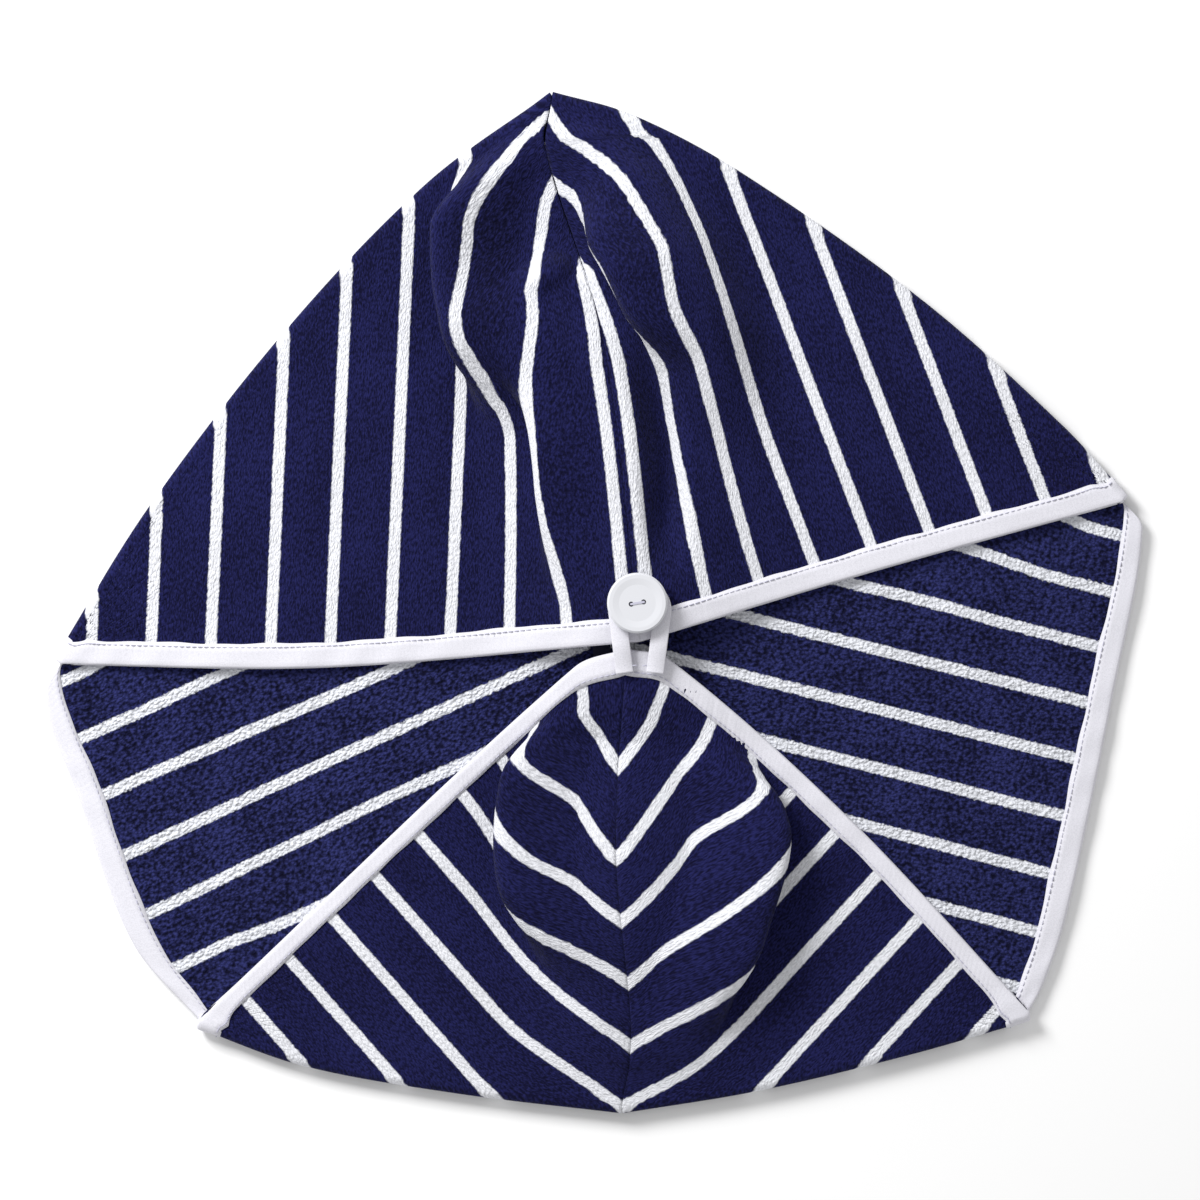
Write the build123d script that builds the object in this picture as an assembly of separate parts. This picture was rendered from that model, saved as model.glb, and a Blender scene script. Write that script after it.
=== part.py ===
from build123d import *
import os

# A hooded towel wrap lying flat and buttoned, in millimetres.
#
# Two mirrored lengths of striped towelling are joined by one seam that runs up the hood's front, over the
# peak, down the back and up the lower flap. Their long open edge is bound with folded tape. A two-hole button
# stands on the hood at the foot of its seam, and a loop at the flap's tip passes round its shank.
#
# X runs across the wrap, Y from the lower flap to the hood's peak, and Z up from the table. The origin is on
# the table, under the middle of the outline. Left and right are -X and +X.

# Towelling, tape and thread
CLOTH = 3.2  # towelling with its pile
TAPE = 0.6  # one folded layer of the binding
TAPE_WIDTH = 9.6  # finished binding, from its turn to its stitched edge
STITCH_INSET = 8.2  # from the turn to the line of stitches
THREAD_WIDTH = 0.5
THREAD_RISE = 0.3
SEAM_WIDTH = 7.0  # both seam allowances, pressed apart
SEAM_THICK = 1.6

# Heights
BACK_TOP = CLOTH
FRONT_Z = 4.2  # underside of the hood's front and the lower flap where they lie lowest
FRONT_TOP = FRONT_Z + CLOTH
TURN_WIDTH = 6.0  # the rounded turn of a fold, seen from above
GAP = 0.5  # between cloth that lifts and cloth that stays

# Outline, seen from above
PEAK = (-16.6, 204)
TOE = (11.4, -204)
TOP_LEFT = [PEAK, (-66, 168), (-121, 111), (-177, 39), (-215, -22)]
TOP_RIGHT = [PEAK, (15, 195), (57, 173), (131, 121), (187, 71), (213, 43)]
SIDE_LEFT = [(-215, -22), (-219.5, -38), (-206, -77), (-184, -136), (-158, -170)]
SIDE_RIGHT = [(213, 43), (219.5, 30), (208, -34), (189, -124), (174, -167)]
BOTTOM_LEFT = [(-158, -170), (-116, -185), (-55, -196), TOE]
BOTTOM_RIGHT = [(174, -167), (125, -181), (66, -195), TOE]
SIDE_TAPE_LEFT_Y = (-164, -29)  # lowest and highest point of each side's binding
SIDE_TAPE_RIGHT_Y = (-152, 35)

# Hood front: a tent whose ridge is the seam
HOOD_TIP = (-19.5, 184, 0)  # plan position, then the rise over the lowest lie
HOOD_MIDDLE = (4, 104, 16)
HOOD_MOUTH = (18.6, -15.5, 9)
HOOD_LIFT_LEFT = (-110, -26, 0)  # where the part that lifts leaves the part that stays
HOOD_LIFT_RIGHT = (112, 12.5, 0)
HOOD_EDGE_LEFT = [(-213, -26), (-110, -26)]
HOOD_EDGE_RIGHT = [(112, 12.5), (165, 30), (210, 40)]

# Lower flap: a tent from the line between the bottom corners to its tip
FLAP_TIP = (13, -18.5, 9)
FLAP_SWELL_LEFT = (-8, -26, 8)  # where the edge bends beside the tip
FLAP_SWELL_RIGHT = (30, -22.5, 7.5)
FLAP_MIDDLE = (9, -99, 16)
FLAP_FOOT = (15, -171.5, 0)
FLAP_LEFT = (-157, -171.5, 0)
FLAP_SHOULDER = (103, -87, 0)
FLAP_RIGHT = (170, -171.5, 0)
FLAP_EDGE_LEFT = [FLAP_TIP, FLAP_SWELL_LEFT, (-126, -147), (-155, -171.5)]
FLAP_EDGE_RIGHT = [(169, -171.5), FLAP_SHOULDER, FLAP_SWELL_RIGHT, FLAP_TIP]
TOE_LINE_Y = -174.0  # the cloth below this stays when the flap opens

# Button, shank and loop
BUTTON_AT = (17.4, -0.2)
BUTTON_RADIUS = 12.0
BUTTON_THICK = 3.2
BUTTON_FLOOR = 2.85  # thickness inside the faintly raised rim
BUTTON_TURN = 10  # how far the line of its holes is turned from X, in degrees
HOLE_RADIUS = 1.0
HOLE_SPACING = 5.0
SHANK_RADIUS = 1.8
SHANK_FOOT_Z = 17.5
LOOP_Z = 19.4
LOOP_THICK = 1.3
LOOP_RADIUS = 12.6
LOOP_WIDTH = 7.0
LOOP_FOOT_Y = -28
BUTTON_Z = 21.9
HOVER = 0.3  # clearance under the button, over its shank

FAR = 500
LOW = (Align.CENTER, Align.CENTER, Align.MIN)


def beside(path, distance):
    """A path moved to its right, its corners mitred."""
    spots = [Vector(p[0], p[1]) for p in path]
    sides = [(b - a).normalized().rotate(Axis.Z, -90) for a, b in zip(spots, spots[1:])]
    moved = []
    for i, spot in enumerate(spots):
        both = sides[max(i - 1, 0)] + sides[min(i, len(sides) - 1)]
        moved.append(spot + both * (2 * distance / both.dot(both)))
    return [(v.X, v.Y) for v in moved]


def strip(path, start, end):
    """The plan outline between two distances to the right of a path."""
    return beside(path, start) + beside(path, end)[::-1]


def plate(points, low, high):
    """A flat layer over a plan outline."""
    face = Face(Wire.make_polygon([Vector(p[0], p[1], low) for p in points], close=True))
    return Solid.extrude(face, Vector(0, 0, high - low))


def slope(facet, low, high):
    """A tilted layer over one triangle, its heights counted from the cloth's underside."""
    face = Face(Wire.make_polygon([Vector(x, y, FRONT_Z + rise + low) for x, y, rise in facet], close=True))
    return Solid.extrude(face, Vector(0, 0, high - low))


def tent(facets, points, low, high):
    """The part of a layer of tilted triangles that lies over a plan outline."""
    column = plate(points, -FAR, FAR)
    pieces = [slope(facet, low, high) & column for facet in facets]
    return Part() + [piece for piece in pieces if piece is not None]


def tent_over(facets, outline):
    """A maker of layers that follow the triangles and stop at an outline."""
    column = plate(outline, -FAR, FAR)
    return lambda points, low, high: tent(facets, points, low, high) & column


def seam_under(facets, path, low_y, high_y):
    """Seam allowances, pressed apart under a ridge, between two heights of the plan."""
    window = plate([(-FAR, low_y), (FAR, low_y), (FAR, high_y), (-FAR, high_y)], -FAR, FAR)
    line = strip(path, -SEAM_WIDTH / 2, SEAM_WIDTH / 2)
    return tent(facets["left"] + facets["right"], line, -SEAM_THICK, 0) & window


def tape_round(layer, path):
    """Binding folded round an edge: a lip over the cloth, a lip under it and the turn outside it."""
    over = layer(strip(path, 0, TAPE_WIDTH), CLOTH, CLOTH + TAPE)
    under = layer(strip(path, 0, TAPE_WIDTH), -TAPE, 0)
    turn = layer(strip(path, 0, TAPE), 0, CLOTH)
    return over + under + turn


def stitches_on(layer, path):
    """One line of stitches on a binding's upper lip."""
    line = strip(path, STITCH_INSET - THREAD_WIDTH, STITCH_INSET)
    return layer(line, CLOTH + TAPE, CLOTH + TAPE + THREAD_RISE)


def flat_front(points, low, high):
    """A layer of a front where it lies lowest."""
    return plate(points, FRONT_Z + low, FRONT_Z + high)


def back_layer(points, low, high):
    """A layer of the back. The binding's lower lip is pressed up into it, level with its underside."""
    return plate(points, max(low, 0), high if high > 0 else TAPE)


def make_back(nodes):
    """The back's two panels, their seam, and the binding of the open sides."""
    outlines = {
        "left": TOP_LEFT + SIDE_LEFT[1:] + BOTTOM_LEFT[1:],
        "right": TOP_RIGHT + SIDE_RIGHT[1:] + BOTTOM_RIGHT[1:],
    }
    edges = {"left": SIDE_LEFT[::-1], "right": SIDE_RIGHT}
    spans = {"left": SIDE_TAPE_LEFT_Y, "right": SIDE_TAPE_RIGHT_Y}
    for side, outline in outlines.items():
        low, high = spans[side]
        window = plate([(-FAR, low), (FAR, low), (FAR, high), (-FAR, high)], -FAR, FAR)
        tape = tape_round(back_layer, edges[side]) & window
        nodes[f"side_binding_{side}"] = tape
        nodes[f"side_stitching_{side}"] = stitches_on(back_layer, edges[side]) & window
        nodes[f"back_{side}"] = plate(outline, 0, BACK_TOP) - tape
    seam = [(16, -150), (-14, 160)]
    line = strip(seam, -SEAM_WIDTH / 2, SEAM_WIDTH / 2)
    nodes["back_seam"] = plate(line, BACK_TOP, BACK_TOP + SEAM_THICK)


def make_hood_sides(nodes):
    """The hood's front beside its folds. It stays on the back and turns under along the outline."""
    tip = (HOOD_TIP[0], HOOD_TIP[1] + 3 * GAP)
    outlines = {
        "left": TOP_LEFT + HOOD_EDGE_LEFT + [tip],
        "right": TOP_RIGHT + HOOD_EDGE_RIGHT[::-1] + [tip],
    }
    turns = {"left": strip(TOP_LEFT, 0, -TURN_WIDTH), "right": strip(TOP_RIGHT, 0, TURN_WIDTH)}
    edges = {"left": HOOD_EDGE_LEFT[::-1], "right": HOOD_EDGE_RIGHT[::-1]}
    for side, outline in outlines.items():
        column = plate(outline, -FAR, FAR)
        tape = tape_round(flat_front, edges[side])
        turned = plate(turns[side], BACK_TOP, FRONT_Z) & column
        nodes[f"hood_side_{side}"] = plate(outline, FRONT_Z, FRONT_TOP) + turned - tape
        nodes[f"hood_side_binding_{side}"] = tape & column
        nodes[f"hood_side_stitching_{side}"] = stitches_on(flat_front, edges[side]) & column


def make_hood_front(nodes):
    """The hood's front that lifts: two panels, the seam under its ridge, and the binding of its mouth."""
    tip, middle, mouth = HOOD_TIP, HOOD_MIDDLE, HOOD_MOUTH
    facets = {
        "left": [(tip, HOOD_LIFT_LEFT, middle), (HOOD_LIFT_LEFT, mouth, middle)],
        "right": [(tip, middle, HOOD_LIFT_RIGHT), (middle, mouth, HOOD_LIFT_RIGHT)],
    }
    top = (tip[0], tip[1] - 4 * GAP)
    left_foot = (HOOD_LIFT_LEFT[0] + 1.6 * GAP, HOOD_LIFT_LEFT[1])
    right_foot = (HOOD_LIFT_RIGHT[0] - 1.6 * GAP, HOOD_LIFT_RIGHT[1])
    outlines = {"left": [top, left_foot, mouth, middle], "right": [top, right_foot, mouth, middle]}
    edges = {"left": [mouth, HOOD_LIFT_LEFT], "right": [HOOD_LIFT_RIGHT, mouth]}
    for side, outline in outlines.items():
        layer = tent_over(facets[side], outline)
        tape = tape_round(layer, edges[side])
        nodes[f"hood_front_{side}"] = layer(outline, 0, CLOTH) - tape
        nodes[f"hood_binding_{side}"] = tape
        nodes[f"hood_stitching_{side}"] = stitches_on(layer, edges[side])
    nodes["hood_seam"] = seam_under(facets, [tip, middle, mouth], 0, 166)


def make_flap(nodes):
    """The lower flap: two panels, the seam under its ridge, and the binding of its edge."""
    tip, middle, foot = FLAP_TIP, FLAP_MIDDLE, FLAP_FOOT
    shoulder, left, right = FLAP_SHOULDER, FLAP_LEFT, FLAP_RIGHT
    swell_left, swell_right = FLAP_SWELL_LEFT, FLAP_SWELL_RIGHT
    facets = {
        "left": [(tip, middle, swell_left), (middle, left, swell_left), (middle, foot, left)],
        "right": [
            (tip, swell_right, middle),
            (swell_right, shoulder, middle),
            (middle, shoulder, right),
            (middle, right, foot),
        ],
    }
    edges = {"left": FLAP_EDGE_LEFT[::-1], "right": FLAP_EDGE_RIGHT[::-1]}
    outlines = {"left": edges["left"] + [middle, foot], "right": edges["right"] + [foot, middle]}
    for side, outline in outlines.items():
        layer = tent_over(facets[side], outline)
        tape = tape_round(layer, edges[side])
        nodes[f"flap_{side}"] = layer(outline, 0, CLOTH) - tape
        nodes[f"flap_binding_{side}"] = tape
        nodes[f"flap_stitching_{side}"] = stitches_on(layer, edges[side])
    nodes["flap_seam"] = seam_under(facets, [tip, middle, foot], -150, -32)


def make_flap_turn(nodes):
    """The cloth turned up along the bottom outline, which stays when the flap opens."""
    outlines = {"left": BOTTOM_LEFT + [(TOE[0], TOE_LINE_Y)], "right": BOTTOM_RIGHT + [(TOE[0], TOE_LINE_Y)]}
    window = plate([(-FAR, -FAR), (FAR, -FAR), (FAR, TOE_LINE_Y), (-FAR, TOE_LINE_Y)], -FAR, FAR)
    for side, outline in outlines.items():
        nodes[f"flap_turn_{side}"] = plate(outline, BACK_TOP, FRONT_TOP) & window


def make_button(nodes):
    """A two-hole button with a raised rim, the thread over it and the wound shank that it stands on."""
    place = Pos(*BUTTON_AT, BUTTON_Z) * Rot(0, 0, BUTTON_TURN)
    rim = BUTTON_RADIUS - 2.2
    section = [
        (0, 0),
        (BUTTON_RADIUS - 1.2, 0),
        (BUTTON_RADIUS, 1.1),
        (BUTTON_RADIUS, BUTTON_THICK - 0.8),
        (BUTTON_RADIUS - 0.8, BUTTON_THICK),
        (rim, BUTTON_THICK),
        (rim - 2.5, BUTTON_FLOOR),
        (0, BUTTON_FLOOR),
    ]
    disc = revolve(Plane.XZ * make_face(Polyline(*section, close=True)), Axis.Z)
    holes = [Pos(end * HOLE_SPACING / 2, 0, 0) for end in (-1, 1)]
    bar = Pos(0, 0, BUTTON_FLOOR) * extrude(SlotCenterToCenter(HOLE_SPACING, 0.9), 0.3)
    strands = [hole * extrude(Circle(0.45), BUTTON_FLOOR) for hole in holes]
    disc -= [hole * extrude(Circle(HOLE_RADIUS), BUTTON_THICK) for hole in holes]
    shank = Circle(SHANK_RADIUS)
    nodes["button"] = place * disc
    nodes["button_thread"] = place * (bar + strands)
    nodes["button_shank"] = Pos(*BUTTON_AT, SHANK_FOOT_Z) * extrude(shank, BUTTON_Z - HOVER - SHANK_FOOT_Z)


def make_loop(nodes):
    """A flattened tube of binding from the flap's tip round the shank, and the bar of stitches at its foot."""
    x, y = BUTTON_AT
    centre = Pos(x + 1, y - 3)
    half = LOOP_RADIUS - LOOP_WIDTH
    length = y - 3 - LOOP_FOOT_Y
    outside = Circle(LOOP_RADIUS) + Pos(0, -length / 2) * Rectangle(2 * LOOP_RADIUS - 3, length)
    inside = Circle(half) + Pos(0, -length / 2 + 4) * Rectangle(2 * half, length - 8)
    nodes["button_loop"] = centre * Pos(0, 0, LOOP_Z) * extrude(outside - inside, LOOP_THICK)
    tack = Pos(x + 1, LOOP_FOOT_Y + 3, LOOP_Z - HOVER - 1) * Box(12, 2, 1, align=LOW)
    nodes["loop_tack"] = tack - nodes["flap_left"] - nodes["flap_right"]


def main():
    os.makedirs("parts", exist_ok=True)
    nodes = {}
    make_back(nodes)
    make_hood_sides(nodes)
    make_hood_front(nodes)
    make_flap(nodes)
    make_flap_turn(nodes)
    make_button(nodes)
    make_loop(nodes)
    for name, shape in nodes.items():
        export_step(shape, f"parts/{name}.step")


main()
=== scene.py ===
import math

import bpy
import numpy as np
from mathutils.geometry import convex_hull_2d
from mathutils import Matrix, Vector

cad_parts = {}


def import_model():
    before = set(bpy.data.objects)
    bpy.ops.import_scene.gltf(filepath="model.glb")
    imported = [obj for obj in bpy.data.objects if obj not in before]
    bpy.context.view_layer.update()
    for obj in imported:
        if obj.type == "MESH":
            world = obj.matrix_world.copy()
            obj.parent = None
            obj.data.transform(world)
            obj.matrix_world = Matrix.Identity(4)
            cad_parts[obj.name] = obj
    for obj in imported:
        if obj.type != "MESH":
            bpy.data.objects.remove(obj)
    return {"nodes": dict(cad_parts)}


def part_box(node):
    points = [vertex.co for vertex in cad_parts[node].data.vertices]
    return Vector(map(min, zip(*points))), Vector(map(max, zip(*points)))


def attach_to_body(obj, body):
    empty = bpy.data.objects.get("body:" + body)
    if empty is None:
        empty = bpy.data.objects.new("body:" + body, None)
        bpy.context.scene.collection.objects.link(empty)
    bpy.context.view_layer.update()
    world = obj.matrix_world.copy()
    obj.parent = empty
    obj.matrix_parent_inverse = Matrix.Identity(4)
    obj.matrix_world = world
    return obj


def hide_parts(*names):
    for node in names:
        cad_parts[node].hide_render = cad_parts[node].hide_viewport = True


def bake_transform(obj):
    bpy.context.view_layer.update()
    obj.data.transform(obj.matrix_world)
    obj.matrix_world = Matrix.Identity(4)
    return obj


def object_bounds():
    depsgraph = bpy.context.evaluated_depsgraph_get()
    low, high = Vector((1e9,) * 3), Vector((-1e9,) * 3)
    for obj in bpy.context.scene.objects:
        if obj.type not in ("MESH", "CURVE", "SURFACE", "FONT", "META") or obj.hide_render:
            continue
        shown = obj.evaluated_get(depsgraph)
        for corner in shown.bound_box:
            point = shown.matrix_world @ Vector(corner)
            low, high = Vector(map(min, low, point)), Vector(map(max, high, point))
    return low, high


# A hooded towel wrap, laid flat and buttoned, seen from straight above.
#
# Corners, outlines, seams and the loop's route are read from the CAD nodes. Each front layer is first laid
# out flat between its bound edge, its fold and its seam, then raised towards the seam, and then its folds
# are pushed up in it.
# Working units are millimetres. Left and right are -X and +X.

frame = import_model()
CAD_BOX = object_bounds()

MM = 0.001
GRID = 1.4  # size of the cloth's mesh
HALF = 1.5  # half the towelling's thickness
BACK_MIDDLE = 2.4  # height of the middle of the back's cloth
FRONT_MIDDLE = 5.8  # height of the middle of a front layer where it lies on the back
TURN_RADIUS = (FRONT_MIDDLE - BACK_MIDDLE) / 2
PITCH = 23.8  # from one woven stripe to the next
STRIPE = 4.5
SEAM_GROOVE = 0.5
GROOVE_WIDTH = 2.2
FOLD_CALM = 20  # a front layer lies level at its fold, and has its whole height this far in
EDGE_CALM = 24  # how far in from its bound edge a front layer's folds have their whole height
SEAM_CALM = 8
WEAVE_TURN = 4.3  # degrees by which the hood's stripes lean in to its seam
PILE_UNEVEN = 0.07
RANDOM = np.random.default_rng(4)
HOOD_PHASE = 0.18  # stripes from the hood's mouth to the first stripe
FLAP_PHASE = 0.65  # stripes from the flap's tip to the first stripe
# Stripes counted down each seam, (share of its length, stripes), where both halves' stripes meet
HOOD_SEAM_WEAVE = [(0, -2.4), (0.06, -2), (0.18, -1), (0.33, -0.15), (0.5, 0), (1, 0)]
FLAP_SEAM_WEAVE = [(0, 0), (0.15, 0.25), (0.25, 0.65), (0.45, 1.65), (0.72, 3.65), (1, 5.65)]
CARRIED = 110  # how far from a fold the back's stripes are back to a flat weave
MATCHED = 62  # how far from a seam its matched stripes are back to a flat weave
# How far the cloth stands over its lowest lie down each seam, (share of its length, height)
HOOD_SEAM_RISE = [(0, 0), (0.06, 5), (0.14, 0), (0.24, 0), (0.29, 4), (0.34, 10), (0.45, 12)]
HOOD_SEAM_RISE += [(0.92, 10.5), (1, 9)]
FLAP_SEAM_RISE = [(0, 9), (0.08, 8.2), (0.2, 2.4), (0.3, 6), (0.45, 13.4), (0.6, 14.4), (0.8, 9), (1, 0)]
HOOD_REACH = {"left": 62, "right": 76}  # how far out from its seam each front is raised
FLAP_REACH = {"left": 56, "right": 72}
ROOT = "back"
BACK_PHASE = 0.6  # stripes from the origin to the back's first stripe
BACK_PITCH = 23.0  # from one stripe of the back to the next
BACK_WEAVE = {"left": 24.5, "right": 166}  # degrees from +X along a stripe of the back
ALLOWANCE = 5  # width of a panel's edge beyond its seam
TAPE = 0.4  # how far the binding stands over the cloth
TAPE_WIDTH = 9.5
STITCH_PITCH = 2.4
STITCH_INSET = 8.0
STITCH_RADIUS = 0.28
LOOP_WIDTH = 7
LOOP_DROP = 1.8  # how far the strap's ends lie below the ring
LOOP_SLOPE = 12  # length of strap over which its ends come down
LOOP_PLACES = 120
SIGN = {"left": -1, "right": 1}

# Camera, floor and light, in metres, watts and degrees
CAMERA_HEIGHT = 2.4
CAMERA_SHIFT = (0.0026, 0.001)  # from over the middle of the wrap, to frame it as the photo does
FLOOR_REACH = 3.0
FLOOR_Z = -0.0003
WORLD_LIGHT = 0.57
KEY_POWER = 33
KEY_SIZE = 0.6
KEY_PLACE = (-0.95, 0.95, 1.0)
KEY_TURN = (-43.5, -34, 0)

# Folds pushed up in a front layer. A place on a fold's crest is (share of the seam's length from its first
# end, millimetres out from the seam). Then come the crest's rise, its half width and its lean away from the
# seam.
HOOD_FOLDS = {
    "left": [
        # outer crest, from the tip
        ([(0.01, 5), (0.12, 23), (0.24, 35), (0.38, 40), (0.62, 40)], 17, 16, 19),
        # inner crest, which rolls over a stripe
        ([(0.20, 22), (0.36, 27), (0.62, 22), (0.96, 26)], 6, 12, 10),
        # tuck across, where the seam climbs
        ([(0.33, 4), (0.31, 13), (0.33, 24)], 6, 8, 0),
    ],
    "right": [
        # outer crest, from the tip
        ([(0.01, 6), (0.18, 26), (0.40, 40), (0.66, 54)], 11, 22, 0),
        # inner crest, which leans in to the seam
        ([(0.16, 12), (0.28, 20), (0.42, 26), (0.54, 30)], 10, 13, -13),
        # valley beside the seam
        ([(0.44, 12), (0.60, 17), (0.78, 15), (0.94, 12)], -9, 12, 0),
    ],
}
# One fold on each side: the edge of the flap's bulge
FLAP_FOLDS = {
    "left": [([(0.06, 14), (0.26, 27), (0.48, 29), (0.72, 16)], 11, 14, 16)],
    "right": [([(0.10, 34), (0.40, 46), (0.64, 34), (0.90, 13)], 13, 18, 20)],
}


# ---------------------------------------------------------------- places read from the frame

def vertices(*nodes):
    return np.concatenate([[v.co[:] for v in frame["nodes"][n].data.vertices] for n in nodes]) / MM


def furthest(node, x, y):
    """The corner of a node that lies furthest in a level direction."""
    points = vertices(node)
    return points[np.argmax(points @ np.array([x, y, 0.0]))]


def summit(node):
    points = vertices(node)
    return points[np.argmax(points[:, 2])]


def outline(start, end, *nodes):
    """The corners of the nodes' outline from one place to another, the shorter way round."""
    points = vertices(*nodes)[:, :2]
    loop = points[convex_hull_2d(points.tolist())]
    first = np.argmin(np.linalg.norm(loop - start[:2], axis=1))
    loop = np.roll(loop, -first, axis=0)
    last = np.argmin(np.linalg.norm(loop - end[:2], axis=1))
    one, other = loop[: last + 1], np.concatenate([loop[:1], loop[:last - 1:-1]])
    path = min(one, other, key=lambda way: distances(way)[-1])
    kept = [path[0]]
    for point in path[1:-1]:
        if min(np.linalg.norm(point - kept[-1]), np.linalg.norm(point - path[-1])) > 8:
            kept.append(point)
    return np.array([*kept, path[-1]])


# ---------------------------------------------------------------- curves and surfaces

def distances(points):
    return np.concatenate([[0], np.cumsum(np.linalg.norm(np.diff(points, axis=0), axis=1))])


def ease(x):
    x = np.clip(x, 0, 1)
    return x * x * (3 - 2 * x)


def unit(vectors):
    return vectors / np.maximum(np.linalg.norm(vectors, axis=-1, keepdims=True), 1e-9)


def smooth_line(points, count):
    """Evenly spaced places on a smooth line through points."""
    points = np.asarray(points, float)
    knots = distances(points)
    tangents = np.diff(points, axis=0) / np.diff(knots)[:, None]
    middle = (points[2:] - points[:-2]) / (knots[2:] - knots[:-2])[:, None]
    tangents = np.concatenate([tangents[:1], middle, tangents[-1:]])
    at = np.linspace(0, knots[-1], 600)
    k = np.clip(np.searchsorted(knots, at, side="right") - 1, 0, len(knots) - 2)
    step = (knots[k + 1] - knots[k])[:, None]
    t = (at - knots[k])[:, None] / step
    fine = (
        (2 * t**3 - 3 * t**2 + 1) * points[k]
        + (t**3 - 2 * t**2 + t) * step * tangents[k]
        + (3 * t**2 - 2 * t**3) * points[k + 1]
        + (t**3 - t**2) * step * tangents[k + 1]
    )
    run = distances(fine)
    even = np.linspace(0, run[-1], count)
    return np.stack([np.interp(even, run, column) for column in fine.T], axis=1)


def patch(bottom, top, first, last):
    """The level surface between four lines: bottom and top run from first to last."""
    s = np.linspace(0, 1, len(bottom))[:, None, None]
    t = np.linspace(0, 1, len(first))[None, :, None]
    between_rows = (1 - t) * bottom[:, None] + t * top[:, None]
    between_ends = (1 - s) * first[None] + s * last[None]
    corners = (
        (1 - s) * (1 - t) * bottom[0] + s * (1 - t) * bottom[-1] + (1 - s) * t * top[0] + s * t * top[-1]
    )
    return between_rows + between_ends - corners


def nearest(points, line):
    """For each level place: the share along a line of the line's nearest place, and the distance from it."""
    flat = points.reshape(-1, 2)
    run = distances(line) / distances(line)[-1]
    share, away = np.empty(len(flat)), np.empty(len(flat))
    for start in range(0, len(flat), 4000):
        block = slice(start, start + 4000)
        squared = ((flat[block, None] - line[None]) ** 2).sum(axis=2)
        k = squared.argmin(axis=1)
        share[block], away[block] = run[k], np.sqrt(squared[np.arange(len(k)), k])
    return share.reshape(points.shape[:-1]), away.reshape(points.shape[:-1])


def ripple(points, size):
    """The slight unevenness of cloth that has been handled, from -1 to 1."""
    x, y = points[..., 0] / size, points[..., 1] / size
    return (np.sin(x + 1.7 * np.sin(0.6 * y)) + np.sin(1.3 * y - 0.8 * x + 2) + np.sin(0.7 * x + 1.9 * y)) / 3


# ---------------------------------------------------------------- a front layer

def front_layer(bound, fold, seam, seam_rise, reach, folds, sign):
    """A front layer laid out level, its surface with rows from the bound edge to the fold, and where each
    of its places is beside the seam: the seam's line, the share along it and the distance from it."""
    columns, rows = len(fold), int(distances(seam)[-1] / GRID)
    bottom = smooth_line(bound, columns)
    last = smooth_line([fold[-1], *seam[1:]], rows)[::-1]
    first = np.linspace(bottom[0], fold[0], rows)
    level = patch(bottom, fold, first, last)
    line = last[::-1]
    share, away = nearest(level, line)
    height = FRONT_MIDDLE + np.interp(share, *zip(*seam_rise)) * (1 - ease(away / reach))
    free = ease(nearest(level, fold)[1] / FOLD_CALM)
    calm = (0.12 + 0.88 * ease(nearest(level, bottom)[1] / EDGE_CALM)) * ease(away / SEAM_CALM)
    tangent = unit(np.gradient(line, axis=0))
    outward = np.stack([tangent[:, 1], -tangent[:, 0]], axis=1)
    outward *= sign * np.sign(outward[:, 0].sum())
    at_seam = (share * (len(line) - 1)).astype(int)
    shift = np.zeros_like(level)
    for crest, rise, width, lean in folds:
        beside = [(int(down * (len(line) - 1)), out) for down, out in crest]
        places = [line[k] + outward[k] * out for k, out in beside]
        along, distance = nearest(level, smooth_line(places, 120))
        bump = np.clip(1 - (distance / width) ** 2, 0, 1) ** 2
        push = bump * calm * ease(along / 0.35) * ease((1 - along) / 0.35)
        height = height + rise * push
        shift += outward[at_seam] * (lean * push)[..., None]
    height -= SEAM_GROOVE * np.exp(-((away / GROOVE_WIDTH) ** 2))
    height = FRONT_MIDDLE + (height - FRONT_MIDDLE + 0.5 * ripple(level, 14)) * free
    height = np.maximum(height, FRONT_MIDDLE - 0.3)
    moved = level + shift * free[..., None]
    return level, np.concatenate([moved, height[..., None]], axis=2), (line, share, away)


def fold_line(corners, end_way):
    """A fold's line, drawn in by the roll of its cloth, and the level directions away from the cloth.
    end_way is the direction at the end that both halves share."""
    count = int(distances(corners)[-1] / GRID)
    line = smooth_line(corners, count)
    away = level_outward(line)
    near_end = 1 - ease((distances(line)[-1] - distances(line)) / 16)[:, None]
    away = unit(away * (1 - near_end) + np.array(end_way, float) * near_end)
    return line - away * (TURN_RADIUS + HALF), away


def level_outward(line):
    """Level unit vectors away from the middle of the towel along a line round it."""
    tangent = unit(np.gradient(line, axis=0))
    normal = np.stack([-tangent[:, 1], tangent[:, 0]], axis=1)
    return normal * np.sign((line * normal).sum(axis=1).mean())


def turned_under(surface, away):
    """The rows that carry a front layer round its fold to the back."""
    level_away = np.concatenate([away, np.zeros((len(away), 1))], axis=1)
    turned = []
    for angle in np.linspace(0, math.pi, 11)[1:]:
        row = surface[:, -1] + level_away * TURN_RADIUS * math.sin(angle)
        row[:, 2] = BACK_MIDDLE + TURN_RADIUS * (1 + math.cos(angle))
        turned.append(row)
    return np.stack(turned, axis=1), level_away


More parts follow.
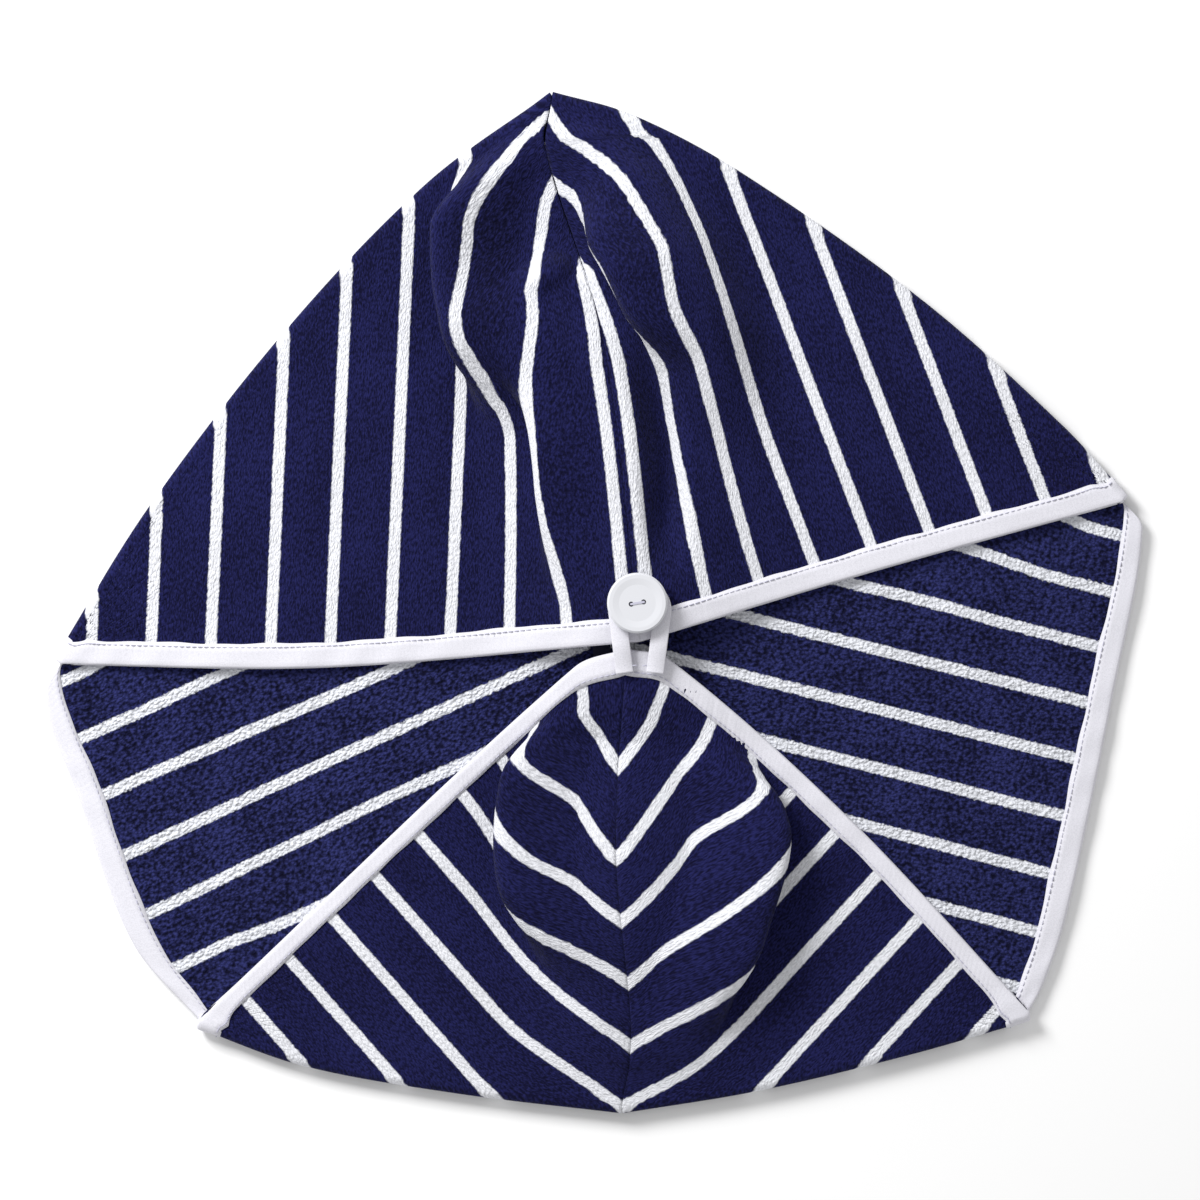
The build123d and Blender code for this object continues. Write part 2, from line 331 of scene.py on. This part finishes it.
def pace(surface, weave):
    """Millimetres of cloth from one stripe to the next at each place of a surface."""
    a, b = np.gradient(surface, axis=0), np.gradient(surface, axis=1)
    u, v = np.gradient(weave, axis=0), np.gradient(weave, axis=1)
    aa, ab, bb = (a * a).sum(axis=2), (a * b).sum(axis=2), (b * b).sum(axis=2)
    steep = (bb * u * u - 2 * ab * u * v + aa * v * v) / np.maximum(aa * bb - ab * ab, 1e-6)
    spacing = np.clip(1 / np.sqrt(np.maximum(steep, 1e-6)), 12, 60)
    for axis in (0, 1, 0, 1, 0, 1):
        before, after = np.roll(spacing, 1, axis=axis), np.roll(spacing, -1, axis=axis)
        smooth = (before + 2 * spacing + after) / 4
        inner = [slice(None), slice(None)]
        inner[axis] = slice(1, -1)
        spacing[tuple(inner)] = smooth[tuple(inner)]
    return spacing


# ---------------------------------------------------------------- meshes

def grid_mesh(name, surface, weave, across, upwards, materials):
    """A cloth of two faces from a grid of places: the outer face takes the first material."""
    columns, rows = surface.shape[:2]
    index = np.arange(columns * rows).reshape(columns, rows)
    corners = index[:-1, :-1], index[1:, :-1], index[1:, 1:], index[:-1, 1:]
    faces = np.stack(corners, axis=-1).reshape(-1, 4)
    a, b, c = (surface.reshape(-1, 3)[faces[:, k]] for k in (0, 1, 3))
    if (np.cross(b - a, c - a)[:, 2].sum() > 0) != upwards:
        faces = faces[:, ::-1]
    mesh = bpy.data.meshes.new(name)
    mesh.from_pydata((surface.reshape(-1, 3) * MM).tolist(), [], faces.tolist())
    for title, values in (("weave", weave), ("across", across), ("pace", pace(surface, weave))):
        attribute = mesh.attributes.new(title, "FLOAT", "POINT")
        attribute.data.foreach_set("value", values.ravel().astype(np.float32))
    obj = bpy.data.objects.new(name, mesh)
    bpy.context.scene.collection.objects.link(obj)
    for material in materials:
        mesh.materials.append(material)
    thick = obj.modifiers.new("cloth", "SOLIDIFY")
    thick.thickness = 2 * HALF * MM
    thick.offset = 0
    thick.material_offset = 1
    evaluated = obj.evaluated_get(bpy.context.evaluated_depsgraph_get())
    solid = bpy.data.meshes.new_from_object(evaluated)
    obj.modifiers.clear()
    obj.data = solid
    solid.shade_smooth()
    return obj


def plain_mesh(name, points, faces, material):
    mesh = bpy.data.meshes.new(name)
    mesh.from_pydata((np.asarray(points) * MM).tolist(), [], faces)
    mesh.materials.append(material)
    mesh.shade_smooth()
    obj = bpy.data.objects.new(name, mesh)
    bpy.context.scene.collection.objects.link(obj)
    return obj


def resampled(edge, inward, normal, spacing):
    run = distances(edge)
    at = np.linspace(0, run[-1], max(int(run[-1] / spacing), 2))
    edge, inward, normal = (
        np.stack([np.interp(at, run, line[:, k]) for k in range(3)], axis=1)
        for line in (edge, inward, normal)
    )
    return edge, unit(inward), unit(normal)


def tape_section():
    """The binding across: both lips and the turn round the edge, as (distance in, height)."""
    outer, inner = HALF + TAPE, HALF - 0.2
    turn = [math.radians(a) for a in range(90, 271, 30)]
    outside = [(TAPE_WIDTH, outer + 0.1), (6, outer), (2, outer)]
    outside += [(0.4 + 1.2 * math.cos(a), outer * math.sin(a)) for a in turn]
    outside += [(2, -outer), (6, -outer), (TAPE_WIDTH, -outer - 0.1)]
    inside = [(TAPE_WIDTH, -inner), (4, -inner), (1, -inner), (1, inner), (4, inner), (TAPE_WIDTH, inner)]
    return np.array(outside + inside)


def make_tape(name, edge, inward, normal, material):
    edge, inward, normal = resampled(edge, inward, normal, 0.8)
    section = tape_section()
    run = distances(edge)[:, None]
    depth, height = section[None, :, 0], section[None, :, 1]
    pucker = 0.12 * np.sin(2 * math.pi * (run / STITCH_PITCH + depth / 9)) * ease(depth / 6)
    pucker = pucker + 0.16 * np.sin(run / 3.7 + depth / 3 + 2 * np.sin(run / 17))
    height = height + np.sign(height) * np.where(np.abs(height) > HALF, pucker, 0)
    wave = 0.25 * np.sin(run / 7.1) + 0.15 * np.sin(run / 2.9 + 1)
    depth = depth + wave * (depth > TAPE_WIDTH - 1)
    points = edge[:, None] + inward[:, None] * depth[..., None] + normal[:, None] * height[..., None]
    points[..., 2] = np.maximum(points[..., 2], 0.02)
    count, around = points.shape[:2]
    faces = []
    for i in range(count - 1):
        for j in range(around):
            k = (j + 1) % around
            faces.append((i * around + j, i * around + k, (i + 1) * around + k, (i + 1) * around + j))
    faces.append(tuple(range(around))[::-1])
    faces.append(tuple((count - 1) * around + j for j in range(around)))
    return plain_mesh(name, points.reshape(-1, 3), faces, material)


def make_stitches(
    name, edge, inward, normal, material, inset=STITCH_INSET, lift=HALF + TAPE + 0.12, sides=(1, -1)
):
    """A line of stitches beside an edge, on each face of the binding unless sides says otherwise."""
    edge, inward, normal = resampled(edge, inward, normal, STITCH_PITCH)
    tangent = unit(np.gradient(edge, axis=0))
    points, faces = [], []
    rings = [(-0.5, 0.0), (-0.42, 0.7), (0.0, 1.0), (0.42, 0.7), (0.5, 0.0)]
    for face in sides:
        for e, i, n, t in zip(edge, inward, normal, tangent):
            middle = e + i * inset + n * face * lift
            start = len(points)
            for place, size in rings:
                for corner in range(6):
                    angle = corner * math.pi / 3
                    round_it = i * math.cos(angle) + n * math.sin(angle)
                    along = t * place * STITCH_PITCH * 0.82
                    points.append(middle + along + round_it * STITCH_RADIUS * max(size, 0.25))
            for ring in range(len(rings) - 1):
                for corner in range(6):
                    a, b = start + ring * 6 + corner, start + ring * 6 + (corner + 1) % 6
                    faces.append((a, b, b + 6, a + 6))
            faces.append(tuple(start + c for c in range(6))[::-1])
            faces.append(tuple(start + 24 + c for c in range(6)))
    return plain_mesh(name, points, faces, material)


# ---------------------------------------------------------------- materials

class Shader:
    """A material whose nodes are added one by one."""

    def __init__(self, name, roughness, sheen=0.0, specular=0.5):
        self.material = bpy.data.materials.new(name)
        self.material.use_nodes = True
        self.tree = self.material.node_tree
        self.surface = self.tree.nodes["Principled BSDF"]
        self.surface.inputs["Roughness"].default_value = roughness
        self.surface.inputs["Specular IOR Level"].default_value = specular
        self.surface.inputs["Sheen Weight"].default_value = sheen
        self.surface.inputs["Sheen Roughness"].default_value = 0.5

    def add(self, kind, settings=(), **inputs):
        node = self.tree.nodes.new(kind)
        for key, value in dict(settings).items():
            setattr(node, key, value)
        for key, value in inputs.items():
            socket = node.inputs[int(key[1:])] if key[0] == "i" and key[1:].isdigit() else node.inputs[key]
            if isinstance(value, bpy.types.NodeSocket):
                self.tree.links.new(value, socket)
            else:
                socket.default_value = value
        return node

    def math(self, operation, a, b=0.0):
        return self.add("ShaderNodeMath", {"operation": operation}, i0=a, i1=b).outputs[0]

    def noise(self, vector, scale, detail=2.0):
        return self.add("ShaderNodeTexNoise", Vector=vector, Scale=scale, Detail=detail).outputs["Fac"]

    def cells(self, vector, scale):
        return self.add("ShaderNodeTexVoronoi", Vector=vector, Scale=scale).outputs["Distance"]

    def ramp(self, value, low, high):
        node = self.add("ShaderNodeMapRange", {"interpolation_type": "SMOOTHSTEP"}, Value=value)
        node.inputs["From Min"].default_value = low
        node.inputs["From Max"].default_value = high
        return node.outputs["Result"]

    def mix(self, factor, a, b):
        node = self.add("ShaderNodeMix", {"data_type": "RGBA"})
        for socket, value in ((node.inputs[0], factor), (node.inputs[6], a), (node.inputs[7], b)):
            if isinstance(value, bpy.types.NodeSocket):
                self.tree.links.new(value, socket)
            else:
                socket.default_value = value
        return node.outputs[2]

    def finish(self, color, height, strength, distance):
        if isinstance(color, bpy.types.NodeSocket):
            self.tree.links.new(color, self.surface.inputs["Base Color"])
        else:
            self.surface.inputs["Base Color"].default_value = color
        bump = self.add("ShaderNodeBump", Height=height, Strength=strength, Distance=distance)
        self.tree.links.new(bump.outputs[0], self.surface.inputs["Normal"])
        return self.material


def shade(red, green, blue):
    """A colour given as it looks on a screen, 0 to 255."""
    screen = (red, green, blue)
    return (*[((c / 255 + 0.055) / 1.055) ** 2.4 if c > 10 else c / 255 / 12.92 for c in screen], 1)


def towelling(name, dark_tone_and_shade, lit, stripe, loop_size, stretch, rough, depth):
    """Striped towelling: the pile, then the stripes woven in it, with fuzzy edges. Pile and stripes are
    painted darker in the hollows between the loops as painted shade, and lighter on the loop tips as painted
    light.
    """
    s = Shader(name, 1.0, 0.03, 0.1)
    weave = s.add("ShaderNodeAttribute", {"attribute_name": "weave"}).outputs["Fac"]
    across = s.add("ShaderNodeAttribute", {"attribute_name": "across"}).outputs["Fac"]
    stretched = s.math("MULTIPLY", across, stretch)
    place = s.add("ShaderNodeCombineXYZ", X=s.math("MULTIPLY", weave, PITCH), Y=stretched).outputs[0]
    loops = s.cells(place, 1 / loop_size)
    pile = s.noise(place, 0.9 / loop_size, 3.0)
    patches = s.noise(place, 0.06, 2.0)
    spacing = s.add("ShaderNodeAttribute", {"attribute_name": "pace"}).outputs["Fac"]
    off = s.math("MULTIPLY", s.math("PINGPONG", weave, 0.5), spacing)
    ragged = s.math("ADD", s.math("MULTIPLY", s.noise(place, 0.7, 2.0), rough), pile)
    fuzzy = s.math("ADD", off, s.math("SUBTRACT", ragged, 0.5 + rough / 2))
    inside = s.math("SUBTRACT", 1.0, s.ramp(fuzzy, STRIPE / 2 - 0.35, STRIPE / 2 + 0.35))
    # The pile's colour follows its bump: darker between the loops as painted shade, lighter on their tips as
    # painted light, with random patches of real tone
    grain_and_shade = s.math("SUBTRACT", s.math("MULTIPLY", pile, 1.1), s.math("MULTIPLY", loops, 0.35))
    light = s.ramp(s.math("ADD", grain_and_shade, s.math("MULTIPLY", patches, 0.3)), 0.3, 0.75)
    ground = s.mix(light, dark_tone_and_shade, lit)
    # The white stripes are painted darker between the loops too, as painted shade
    white = s.mix(light, tuple(0.78 * c for c in stripe[:3]) + (1,), stripe)
    height = s.math("SUBTRACT", pile, s.math("MULTIPLY", loops, 0.8))
    return s.finish(s.mix(inside, ground, white), height, 0.7, depth)


def woven(name, color, thread, depth, roughness=0.8):
    """Plain woven tape or thread."""
    s = Shader(name, roughness, 0.1)
    place = s.add("ShaderNodeNewGeometry").outputs["Position"]
    grain_and_shade = s.noise(place, 1 / thread, 3.0)
    shadow = tuple(0.88 * c for c in color[:3]) + (1,)
    return s.finish(s.mix(s.ramp(grain_and_shade, 0.35, 0.6), shadow, color), grain_and_shade, 0.4, depth)


def plastic(name, color):
    s = Shader(name, 0.12)
    s.surface.inputs["Coat Weight"].default_value = 0.4
    place = s.add("ShaderNodeNewGeometry").outputs["Position"]
    return s.finish(color, s.noise(place, 120.0), 0.03, 0.0004)


# ---------------------------------------------------------------- camera, light and floor

def make_camera():
    low, high = CAD_BOX
    data = bpy.data.cameras.new("camera")
    data.sensor_width = 36
    data.lens = 180
    camera = bpy.data.objects.new("camera", data)
    bpy.context.scene.collection.objects.link(camera)
    x, y = ((low[k] + high[k]) / 2 + CAMERA_SHIFT[k] for k in (0, 1))
    camera.location = (x, y, CAMERA_HEIGHT)
    bpy.context.scene.camera = camera


def make_stage():
    reach = FLOOR_REACH / MM
    floor = plain_mesh(
        "floor",
        [(x * reach, y * reach, FLOOR_Z / MM) for x, y in ((-1, -1), (1, -1), (1, 1), (-1, 1))],
        [(0, 1, 2, 3)],
        bpy.data.materials.new("floor"),
    )
    surface = floor.data.materials[0]
    surface.use_nodes = True
    surface.node_tree.nodes["Principled BSDF"].inputs["Base Color"].default_value = (0.95, 0.95, 0.95, 1)
    surface.node_tree.nodes["Principled BSDF"].inputs["Roughness"].default_value = 0.9
    world = bpy.data.worlds.new("studio")
    world.use_nodes = True
    world.node_tree.nodes["Background"].inputs["Color"].default_value = (1, 1, 1, 1)
    world.node_tree.nodes["Background"].inputs["Strength"].default_value = WORLD_LIGHT
    bpy.context.scene.world = world
    bpy.context.scene.view_settings.view_transform = "Standard"
    key = bpy.data.lights.new("key", "AREA")
    key.size = KEY_SIZE
    key.energy = KEY_POWER
    lamp = bpy.data.objects.new("key", key)
    bpy.context.scene.collection.objects.link(lamp)
    lamp.location = KEY_PLACE
    lamp.rotation_euler = [math.radians(turn) for turn in KEY_TURN]


# ---------------------------------------------------------------- the pieces of one half

def weave_distances(level, seam, start, corner, turn, phase, seam_weave, sign):
    """Stripes counted from the seam's tip along the bound edge, and millimetres in from that edge.
    Beside the seam the count follows seam_weave, so that the two halves' stripes meet."""
    line, share, away = seam
    way = turned_way(unit(corner[:2] - start[:2]), turn)
    flat = (level - start[:2]) @ way / PITCH
    at_seam = ((line - start[:2]) @ way / PITCH)[(share * (len(line) - 1)).astype(int)]
    matched = np.interp(share, *zip(*seam_weave))
    count = flat + (matched - at_seam) * (1 - ease(away / MATCHED))
    across = (level - start[:2]) @ np.array([-way[1], way[0]])
    return count + phase, across * sign, way / PITCH


def carried_on(level, fold, flat, rim):
    """What to add to the back's flat weave, so that each stripe carries on where it comes round a fold.
    flat and rim are the back's and the front layer's counts of stripes along the fold."""
    share, away = nearest(level, fold)
    same_way = np.sign(np.diff(flat) @ np.diff(rim))
    step = same_way * rim - flat
    step = step - round(step[0])
    return step[(share * (len(fold) - 1)).astype(int)] * (1 - ease(away / CARRIED))


def turned_way(way, degrees):
    """A level direction turned counter-clockwise."""
    cos, sin = math.cos(math.radians(degrees)), math.sin(math.radians(degrees))
    return np.array([way[0] * cos - way[1] * sin, way[0] * sin + way[1] * cos])


def soften(vectors, reach=6):
    """Directions along a line, each averaged with its neighbours."""
    padded = np.concatenate([vectors[:1].repeat(reach, axis=0), vectors, vectors[-1:].repeat(reach, axis=0)])
    kernel = np.hanning(2 * reach + 3)[1:-1]
    return unit(np.stack([np.convolve(column, kernel, "valid") for column in padded.T], axis=1))


def towards(vectors, edge, end_vector):
    """Directions that turn to end_vector over the last stretch of an edge."""
    run = distances(edge)
    share = 1 - ease((run[-1] - run) / 18)[:, None]
    return unit(vectors * (1 - share) + end_vector * share)


def edge_frames(surface, turned, normal):
    """The bound edge of a front layer and its way round the fold, with inward and upward directions."""
    edge = surface[::-1, 0]
    along_fold = unit(surface[6, -1] - surface[0, -1])
    upright = np.array([0, 0, 1.0])
    inward = towards(unit(surface[::-1, 6] - edge), edge, along_fold)
    up = np.cross(unit(np.gradient(edge, axis=0)), inward)
    up = towards(unit(up * np.sign(up[:, 2].sum())), edge, upright)
    angles = np.linspace(0, math.pi, turned.shape[1] + 1)[1:, None]
    round_up = upright * np.cos(angles) + normal[0] * np.sin(angles)
    inward = np.concatenate([soften(inward), along_fold[None].repeat(len(angles), axis=0)])
    return np.concatenate([edge, turned[0]]), inward, np.concatenate([soften(up), round_up])


def dress(name, frames, tape, thread):
    """The binding and its stitches along an edge."""
    return [make_tape(name + "_tape", *frames, tape), make_stitches(name + "_stitches", *frames, thread)]


def attach(objects):
    """Bakes each piece's placement into its mesh."""
    for obj in objects:
        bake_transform(obj)


def make_hood(side, cloth, tape, thread):
    """Half of the hood's front. Returns its fold and the stripes counted at the end of its turn."""
    sign = SIGN[side]
    peak, corner = furthest(f"back_{side}", 0, 1), furthest(f"hood_side_{side}", sign, 0)
    mouth, lift = furthest(f"hood_front_{side}", -sign, -0.3), furthest(f"hood_front_{side}", sign, 0)
    tip, crown = furthest(f"hood_front_{side}", 0, 1), summit(f"hood_front_{side}")

    fold, fold_away = fold_line(outline(corner, peak, f"back_{side}"), (0, 1))
    bound = [before(fold), lift[:2], mouth[:2]]
    line = [p[:2] for p in (peak, tip, crown, mouth)]
    level, surface, seam = front_layer(
        bound, fold, line, HOOD_SEAM_RISE, HOOD_REACH[side], HOOD_FOLDS[side], sign
    )
    turned, normal = turned_under(surface, fold_away)
    seam_weave = [(share, -count) for share, count in HOOD_SEAM_WEAVE]
    weave, across, slope = weave_distances(
        level, seam, mouth, corner, sign * WEAVE_TURN, -HOOD_PHASE, seam_weave, sign
    )
    hood = cloth_piece(f"hood_{side}_cloth", surface, turned, weave, across, fold_away @ slope, cloth)
    trim = dress(f"hood_{side}", edge_frames(surface, turned, normal), tape, thread)
    trim.append(make_allowance(f"hood_{side}_allowance", surface, weave, across, seam[2], cloth[1]))
    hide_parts("hood_seam")

    attach([hood, *trim])
    places = ("side", "front", "binding", "stitching", "side_binding", "side_stitching")
    declare(hood, surface, turned, trim, *[f"hood_{place}_{side}" for place in places])
    return fold, weave[:, -1] + fold_away @ slope * math.pi * TURN_RADIUS


def make_flap(side, cloth, tape, thread):
    """Half of the lower flap. Returns its fold and the stripes counted at the end of its turn."""
    sign = SIGN[side]
    toe, foot = furthest(f"back_{side}", 0, -1), furthest(f"back_{side}", sign, -1.2)
    tip, middle = furthest(f"flap_{side}", 0, 1), summit(f"flap_{side}")
    seam_foot = furthest(f"flap_{side}", -sign, -0.4)

    fold, fold_away = fold_line(outline(foot, toe, f"back_{side}"), (0, -1))
    bound = [before(fold), *outline(foot, tip, f"flap_{side}")[1:]]
    line = [p[:2] for p in (toe, seam_foot, middle, tip)]
    rise = [(1 - share, height) for share, height in FLAP_SEAM_RISE[::-1]]
    level, surface, seam = front_layer(
        bound, fold, line, rise, FLAP_REACH[side], mirrored(FLAP_FOLDS[side]), sign
    )
    turned, normal = turned_under(surface, fold_away)
    seam_weave = [(1 - share, count) for share, count in FLAP_SEAM_WEAVE[::-1]]
    weave, across, slope = weave_distances(level, seam, tip, foot, 0, -FLAP_PHASE, seam_weave, -sign)
    flap = cloth_piece(f"flap_{side}_cloth", surface, turned, weave, across, fold_away @ slope, cloth)
    trim = dress(f"flap_{side}", edge_frames(surface, turned, normal), tape, thread)
    trim.append(make_allowance(f"flap_{side}_allowance", surface, weave, across, seam[2], cloth[1]))
    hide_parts("flap_seam")

    attach([flap, *trim])
    nodes = (f"flap_turn_{side}", f"flap_{side}", f"flap_binding_{side}", f"flap_stitching_{side}")
    declare(flap, surface, turned, trim, *nodes)
    return fold, weave[:, -1] + fold_away @ slope * math.pi * TURN_RADIUS


def make_back(side, hood_fold, hood_rim, flap_fold, flap_rim, cloth, tape, thread):
    """Half of the back, between the folds of its hood and its flap, and the binding of its open side."""
    sign = SIGN[side]
    foot, corner = furthest(f"back_{side}", sign, -1.2), furthest(f"hood_side_{side}", sign, 0)
    rim = outline(foot, corner, f"back_{side}")
    columns, rows = int(distances(hood_fold)[-1] / 2), int(distances(rim)[-1] / 2)
    last = smooth_line([flap_fold[-1], hood_fold[-1]], rows)
    rim = smooth_line([flap_fold[0], *rim[1:-1], hood_fold[0]], rows)
    level = patch(smooth_line(flap_fold, columns), smooth_line(hood_fold, columns), rim, last)
    height = BACK_MIDDLE + 0.25 * ripple(level, 18)
    surface = np.concatenate([level, height[..., None]], axis=2)

    angle = math.radians(BACK_WEAVE[side])
    across_way = np.array([-math.sin(angle), math.cos(angle)]) * -sign
    across_way = across_way / BACK_PITCH
    weave = level @ across_way + BACK_PHASE
    weave = weave + carried_on(level, hood_fold, hood_fold @ across_way + BACK_PHASE, hood_rim)
    weave = weave + carried_on(level, flap_fold, flap_fold @ across_way + BACK_PHASE, flap_rim)
    across = level @ np.array([math.cos(angle), math.sin(angle)])
    back = grid_mesh(f"back_{side}_cloth", surface, weave, across, False, cloth)

    edge = surface[0]
    inward = towards(unit(surface[4] - edge), edge, flat_way(hood_fold))
    inward = towards(inward[::-1], edge[::-1], flat_way(flap_fold))[::-1]
    up = np.array([[0, 0, 1.0]]).repeat(len(edge), axis=0)
    trim = dress(f"side_{side}", (edge, inward, up), tape, thread)
    for piece in (back, *trim):
        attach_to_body(piece, ROOT)
    nodes = (f"back_{side}", f"side_binding_{side}", f"side_stitching_{side}")
    declare(back, surface, surface[:, :0], trim, *nodes)


def make_half(side, cloth, tape, thread):
    hood_fold, hood_rim = make_hood(side, cloth, tape, thread)
    flap_fold, flap_rim = make_flap(side, cloth, tape, thread)
    make_back(side, hood_fold, hood_rim, flap_fold, flap_rim, cloth, tape, thread)


def flat_way(line):
    """The level direction in which a line starts."""
    return np.array([*unit(line[6] - line[0]), 0])


def before(line):
    """A place just before a line's start."""
    return line[0] - 0.5 * unit(line[1] - line[0])


def mirrored(folds):
    """The same folds, with the seam read from its other end."""
    return [([(1 - down, out) for down, out in crest], *rest) for crest, *rest in folds]


def cloth_piece(name, surface, turned, weave, across, slope, cloth):
    """A front layer with its roll round the fold, on which the weave goes on at the same slope."""
    steps = turned.shape[1]
    tail = np.arange(1, steps + 1) * math.pi * TURN_RADIUS / steps
    weave = np.concatenate([weave, weave[:, -1:] + slope[:, None] * tail], axis=1)
    across = np.concatenate([across, across[:, -1:] + tail], axis=1)
    uneven = surface.copy()
    uneven[2:-2, 2:-2, 2] += PILE_UNEVEN * RANDOM.standard_normal(surface[2:-2, 2:-2, 2].shape)
    return grid_mesh(name, np.concatenate([uneven, turned], axis=1), weave, across, True, cloth)


def make_allowance(name, surface, weave, across, away, material):
    """The edge of a panel pressed back under it beside the seam, where the seam stands clear of the back."""
    clear = np.flatnonzero(surface[-1, :, 2] > FRONT_MIDDLE + 4)
    strip = slice(clear[0], clear[-1] + 1)
    columns = int((away[:, strip] < ALLOWANCE).sum(axis=0).min())
    part = surface[-columns:, strip] - (0, 0, 2 * HALF + 0.1)
    weave, across = weave[-columns:, strip], across[-columns:, strip]
    return grid_mesh(name, part, weave, across, False, [material, material])


def declare(piece, surface, turned, trim, *nodes):
    """Hides the CAD nodes that the piece stands for."""
    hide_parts(*nodes)


# ---------------------------------------------------------------- the loop

def make_loop(material, thread_cloth):
    """The loop, from the flap's tip round the button's shank and back, and the tack's stitches across it."""
    low, high = (np.array(corner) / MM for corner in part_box("button_loop"))
    tack_low, tack_high = (np.array(corner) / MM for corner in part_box("loop_tack"))
    outside = (high[0] - low[0]) / 2
    centre = np.array([low[0] + outside, high[1] - outside])
    radius = outside - LOOP_WIDTH / 2
    angles = np.radians(np.linspace(195, -15, 11))
    ring = centre + np.stack([np.cos(angles), np.sin(angles)], axis=1) * radius
    path = smooth_line([(tack_low[0], low[1]), *ring, (tack_high[0], low[1])], LOOP_PLACES)
    side_way = level_outward(path - centre)
    run = distances(path)
    drop = LOOP_DROP * (1 - ease(np.minimum(run, run[-1] - run) / LOOP_SLOPE))
    top, bottom = high[2], low[2]
    half = [(-0.5, 0.2), (-0.44, 0.0), (0.0, 0.0), (0.44, 0.0), (0.5, 0.2)]
    section = half + [(-across, 1 - up) for across, up in half]
    points = [
        (*(p + w * across * LOOP_WIDTH), bottom + (top - bottom) * up - d)
        for p, w, d in zip(path, side_way, drop)
        for across, up in section
    ]
    count, last = len(section), LOOP_PLACES - 1
    faces = [
        (i * count + j, (i + 1) * count + j, (i + 1) * count + (j + 1) % count, i * count + (j + 1) % count)
        for i in range(last)
        for j in range(count)
    ]
    faces += [tuple(range(count)), tuple(last * count + j for j in range(count))[::-1]]
    loop = plain_mesh("button_loop_strap", points, faces, material)
    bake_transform(loop)
    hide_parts("button_loop")
    middle = (tack_low[1] + tack_high[1]) / 2
    row = np.array([(tack_low[0], middle, high[2] - LOOP_DROP), (tack_high[0], middle, high[2] - LOOP_DROP)])
    frames = row, np.array([[0, 1.0, 0]] * 2), np.array([[0, 0, 1.0]] * 2)
    tack = make_stitches("loop_tack_stitches", *frames, thread_cloth, inset=0, lift=0.05, sides=(1,))
    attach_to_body(tack, "lower_flap")
    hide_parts("loop_tack")


# ---------------------------------------------------------------- the whole wrap

def dress_cad(name, material):
    node = frame["nodes"][name]
    node.data.materials.clear()
    node.data.materials.append(material)


make_camera()
make_stage()
# Each towelling's two pile colours are a shaded and a lit navy: painted shade and painted light, mixed over
# the pile's loops and patches
velour = towelling(
    "velour", shade(12, 12, 42), shade(31, 33, 82), shade(236, 237, 243), 0.6, 0.4, 0.6, 0.0008
)
terry = towelling(
    "terry", shade(10, 11, 38), shade(44, 48, 100), shade(232, 234, 241), 1.3, 0.8, 1.6, 0.0022
)
tape_cloth = woven("tape", shade(222, 221, 229), 0.0004, 0.0001)
seam_cloth = woven("seam", shade(14, 14, 48), 0.001, 0.0006)
thread = woven("thread", shade(190, 189, 206), 0.0002, 0.00005, 0.6)
white = plastic("button", shade(214, 215, 220))
for half in SIGN:
    make_half(half, [velour, terry], tape_cloth, thread)
for node in ("button_thread", "button_shank"):
    dress_cad(node, thread)
dress_cad("back_seam", seam_cloth)
dress_cad("button", white)
make_loop(tape_cloth, thread)
